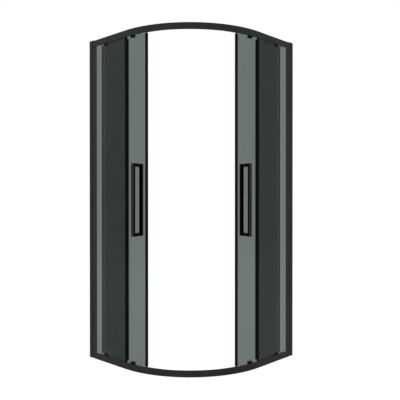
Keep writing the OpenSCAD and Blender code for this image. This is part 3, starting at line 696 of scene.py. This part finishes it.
def roller_outline():
    """Outline of half a roller's section (along the axle, radius), bore included."""
    half = [(0, 2.6), (0, 4.4), (0.8, 4.8), (0.8, 6.1), (0, 6.5), (0, 7.0), (0.6, 7.5)]
    return rounded(half + [(ROLLER_W - x, r) for x, r in half[::-1]], 0.25, steps=2)


def roller(role):
    """Rings round the axle, which stands square to the tracks' circle, with the inner face
    inside it. An outline point's place is the middle, plus the radius times the cosine of the
    turn sideways, plus the radius times its sine upwards."""
    outline, deg = roller_outline(), TRACK_DEGS[role]
    turn = np.linspace(0, 2 * math.pi, ROLLER_STEPS, endpoint=False)[:, None]
    u, d = polar(TRACK_R - ROLLER_IN * MM + outline[:, 0], deg, TRACK_MIDDLE)
    sideways = outline[:, 1] * np.cos(turn)
    a = math.radians(deg)
    height = AXLE_Z * MM + outline[:, 1] * np.sin(turn)
    return np.stack((u + sideways * math.cos(a), d + sideways * math.sin(a), height), -1)


for side in ("left", "right"):
    for role in ("lead", "trail"):
        for level in ("top", "bottom"):
            name = f"roller_{level}_{role}_{side}"
            rings = place(roller(role), side, level == "top", door=True)
            piece(f"{name}.dressed", [skin(rings, True)], acetal, name, [name])

# %% [markdown]
# ## Screws and bolts
# Every head has a hexagon socket and a rounded rim. A screw is turned work, so it is a few rows
# of distance and radius, from the tip of its shank over the head's face to the floor of the
# socket. A cylinder with a boolean socket would do for one, but the same rows serve every screw
# of their kind. Threads are left out, because they are inside what the screws hold.

# %% Rows of the turned screws, and their places
FLAT = [(-12, 1.6), (-11.6, 2), (-1.9, 2), (-0.2, 3.7), (0, 3.6), (0, 1.25), (-1.3, 1.25)]
PAN = [(-4, 2), (-0.01, 2), (0, 3.2), (0.2, 3.4), (1.1, 3.36), (1.9, 3.0), (2.4, 2.3), (2.5, 1.9),
       (2.5, 1.25), (1.2, 1.25)]
BOLT = [(-13, 2.2), (-12.6, 2.5), (-2, 2.5), (-2, 5), (-0.3, 5), (-0.06, 4.9), (0, 4.7), (0, 1.5),
        (-1.4, 1.5)]
BRACKET_SCREWS = [(51, 27.8, 0), (51, 49, 0)]
POST_SCREW = (62, 20, 9)
PLATE_T, LUG_MARGIN, LUG_IN, LUG_HALF = 3, 1, 15.5, 10
ADJUST_U, CHANNEL_DEPTH = 16.5, 26
ADJUST_HEIGHTS = (200, MIDDLE_MM, 1747)
BOLT_IN, BOLT_Z = 8, 32.5
print("rows of a countersunk screw, a pan head and a bolt", len(FLAT), len(PAN), len(BOLT))


# %% Frame screws
def frame_screws(side):
    """The countersunk screws of a half's rails and tracks, and those into the side post. A
    track's screws stand in the middle of the lugs past its two stops: halfway between a lug's
    outer end, a margin outside the hangers' plates, and its inner end."""
    lug_r = (TRACK_R + PLATE_T * MM + LUG_MARGIN * MM + TRACK_R - LUG_IN * MM) / 2
    spots = list(BRACKET_SCREWS)
    for deg, step in zip(STOP_DEGS, (-1, 1)):
        u, d = polar(lug_r, deg + step * arc_deg(LUG_HALF * MM, TRACK_R), TRACK_MIDDLE)
        spots.append((u / MM, d / MM, 0))
    rings = [turned(FLAT, spot, (0, 0, -1)) for spot in spots]
    rings.append(turned(PAN, POST_SCREW, (1, 0, 0)))
    return [skin(place(r, side, top)) for r in rings for top in (False, True)]


def adjusting_screws(side):
    """Pan heads on the inner leg of a wall channel, at three heights."""
    spots = [(ADJUST_U, CHANNEL_DEPTH, z) for z in ADJUST_HEIGHTS]
    return [skin(place(turned(PAN, spot, (0, 1, 0)), side)) for spot in spots]


for name, make in (("frame_screws", frame_screws), ("adjusting_screws", adjusting_screws)):
    shells = make("left") + make("right")
    piece(f"{name}.dressed", shells, steel, "frame", [name], sharp=30)


# %% Clamp bolts
def clamp_bolts(side):
    """Four bolts whose heads lie half sunk in the inner jaws, with their tips outwards."""
    shells = []
    for deg in HANGER_DEGS:
        u, d = polar(DOOR_R - BOLT_IN * MM, deg)
        a = math.radians(deg)
        ring = turned(BOLT, (u / MM, d / MM, BOLT_Z), (-math.sin(a), math.cos(a), 0))
        shells += [skin(place(ring, side, top, door=True)) for top in (False, True)]
    return shells


for side in ("left", "right"):
    name = f"clamp_bolts_{side}"
    piece(f"{name}.dressed", clamp_bolts(side), steel, f"door_{side}", [name], sharp=30)

# %% [markdown]
# ## CAD nodes that stay
# Straight extrusions and cast blocks are right as they are, with their holes. They keep their
# mesh and get live modifiers only: Weld joins the loose triangles, Decimate merges the flat
# ones, and Bevel takes the edge off. The gaskets, the tracks and the studs get no bevel.

# %% Dress the CAD nodes
EDGES = {
    "wall_channel": (powder, 0.35),
    "side_post": (powder, 0.3),
    "edge_profile": (trim, 0.35),
    "channel_cap": (plastic, 0.8),
    "glazing_gasket": (rubber, 0.0),
    "corner_bracket": (cast_metal, 0.5),
    "roller_track": (anodised, 0.0),
    "door_buffers": (rubber, 0.4),
    "handle_studs": (steel, 0.0),
    "hanger": (cast_paint, 0.4),
}
JOIN_DISTANCE, FLAT_DEG, EDGE_DEG = 0.000001, 0.5, 40
shown = [n for n, o in nodes.items() if not o.hide_render]
for name in shown:
    material, edge = next(v for k, v in EDGES.items() if name.startswith(k))
    obj = nodes[name]
    obj.data.materials.clear()
    obj.data.materials.append(material)
    weld = obj.modifiers.new("Join", "WELD")
    weld.merge_threshold = JOIN_DISTANCE
    clean = obj.modifiers.new("Clear flat faces", "DECIMATE")
    clean.decimate_type = "DISSOLVE"
    clean.angle_limit = math.radians(FLAT_DEG)
    if edge:
        bevel = obj.modifiers.new("Soft edges", "BEVEL")
        bevel.width = edge * MM
        bevel.segments = 2
        bevel.limit_method = "ANGLE"
        bevel.angle_limit = math.radians(EDGE_DEG)
print("dressed CAD nodes", len(shown))

# %% [markdown]
# ## Floor, light and camera
# The photograph is a product shot on pure white. Lamps strong enough to turn a pale floor white
# would also grey the black surfaces. So the floor and the world are white to the camera, in
# mirrors and through the glass, and keep a calmer level as lights. No horizon shows in the
# panes, and the lamps hang high, where the upright panes don't mirror them.


# %% What is seen, and what only lights
def seen_directly(tree):
    """1 for camera rays, mirrored rays and rays through glass, 0 for the rest: the largest of
    the three."""
    path = tree.nodes.new("ShaderNodeLightPath")
    first, all_ways = tree.nodes.new("ShaderNodeMath"), tree.nodes.new("ShaderNodeMath")
    first.operation = all_ways.operation = "MAXIMUM"
    tree.links.new(path.outputs["Is Camera Ray"], first.inputs[0])
    tree.links.new(path.outputs["Is Transmission Ray"], first.inputs[1])
    tree.links.new(first.outputs[0], all_ways.inputs[0])
    tree.links.new(path.outputs["Is Glossy Ray"], all_ways.inputs[1])
    return all_ways.outputs[0]


# %% White floor
LIT_GREY, PLAIN_GREY, GLOW = 0.1, 0.35, 0.925
FLOOR_HALF, FLOOR_Z = 40, -0.0006


def white_floor():
    """A wide floor: where it is seen, a white glow plus a little lit colour, which the object's
    shadow takes away, and otherwise a plain pale floor."""
    material = bpy.data.materials.new("white floor")
    material.use_nodes = True
    tree = material.node_tree
    tree.nodes.clear()
    output = tree.nodes.new("ShaderNodeOutputMaterial")
    lit, plain = tree.nodes.new("ShaderNodeBsdfDiffuse"), tree.nodes.new("ShaderNodeBsdfDiffuse")
    lit.inputs["Color"].default_value = (LIT_GREY, LIT_GREY, LIT_GREY, 1)
    plain.inputs["Color"].default_value = (PLAIN_GREY, PLAIN_GREY, PLAIN_GREY, 1)
    glow, add = tree.nodes.new("ShaderNodeEmission"), tree.nodes.new("ShaderNodeAddShader")
    glow.inputs["Strength"].default_value = GLOW
    mix = tree.nodes.new("ShaderNodeMixShader")
    tree.links.new(lit.outputs[0], add.inputs[0])
    tree.links.new(glow.outputs[0], add.inputs[1])
    tree.links.new(seen_directly(tree), mix.inputs["Fac"])
    tree.links.new(plain.outputs[0], mix.inputs[1])
    tree.links.new(add.outputs[0], mix.inputs[2])
    tree.links.new(mix.outputs[0], output.inputs["Surface"])
    return material


floor_mesh = bpy.data.meshes.new("floor")
quarters = ((-1, -1), (1, -1), (1, 1), (-1, 1))
floor_corners = [(x * FLOOR_HALF, y * FLOOR_HALF, FLOOR_Z) for x, y in quarters]
floor_mesh.from_pydata(floor_corners, [], [(0, 1, 2, 3)])
floor_mesh.materials.append(white_floor())
floor = bpy.data.objects.new("floor", floor_mesh)
bpy.context.scene.collection.objects.link(floor)
print("floor", 2 * FLOOR_HALF, "m wide")

# %% World
LIGHT_LEVEL = 0.85
world = bpy.data.worlds.new("studio")
bpy.context.scene.world = world
world.use_nodes = True
background = world.node_tree.nodes["Background"]
background.inputs["Color"].default_value = (1, 1, 1, 1)
strength = world.node_tree.nodes.new("ShaderNodeMapRange")
strength.inputs["To Min"].default_value = LIGHT_LEVEL
strength.inputs["To Max"].default_value = 1.0
world.node_tree.links.new(seen_directly(world.node_tree), strength.inputs["Value"])
world.node_tree.links.new(strength.outputs["Result"], background.inputs["Strength"])
print("world: 1 where it is seen,", LIGHT_LEVEL, "as a light")

# %% Lamps
LAMP_SIZE, AIM = 3.0, (0, 0, 1)
LAMPS = {
    "over the corner": ((2.6, -2.8, 7.5), 260),
    "over the left wall": ((-3.6, -2.0, 7.0), 150),
    "over the room corner": ((-2.0, 3.4, 7.0), 150),
}


def lamp(name, at, watts):
    """A square area lamp at a place, turned and tilted by the angles of the way from what it is
    aimed at."""
    light = bpy.data.lights.new(name, "AREA")
    light.shape = "SQUARE"
    light.size = LAMP_SIZE
    light.energy = watts
    obj = bpy.data.objects.new(name, light)
    bpy.context.scene.collection.objects.link(obj)
    away = np.array(at, float) - np.array(AIM, float)
    obj.location = at
    turn = math.atan2(away[0], -away[1])
    tilt = math.atan2(math.hypot(away[0], away[1]), away[2])
    obj.rotation_euler = (tilt, 0, turn)


for name, (at, watts) in LAMPS.items():
    lamp(name, at, watts)
print("lamps", len(LAMPS))

# %% [markdown]
# The camera's place was worked out from the photograph's own lines: it stands level with the
# middle of the enclosure, a little off its diagonal, and looks straight in.

# %% Camera
CAMERA_AT = (2.362, -2.427, 0.988)
TURN_DEG, DIP_DEG = 43.35, 0.278
LENS_MM, SENSOR_MM, SEES_TO = 48.98, 36, 200
camera_data = bpy.data.cameras.new("camera")
camera = bpy.data.objects.new("camera", camera_data)
bpy.context.scene.collection.objects.link(camera)
camera.location = CAMERA_AT
camera.rotation_euler = (math.radians(90 - DIP_DEG), 0, math.radians(TURN_DEG))
camera_data.sensor_width = SENSOR_MM
camera_data.lens = LENS_MM
camera_data.clip_end = SEES_TO
bpy.context.scene.camera = camera
bpy.context.scene.view_settings.view_transform = "Standard"
print("camera", [round(x, 3) for x in camera.location], "lens", round(camera_data.lens, 2), "mm")
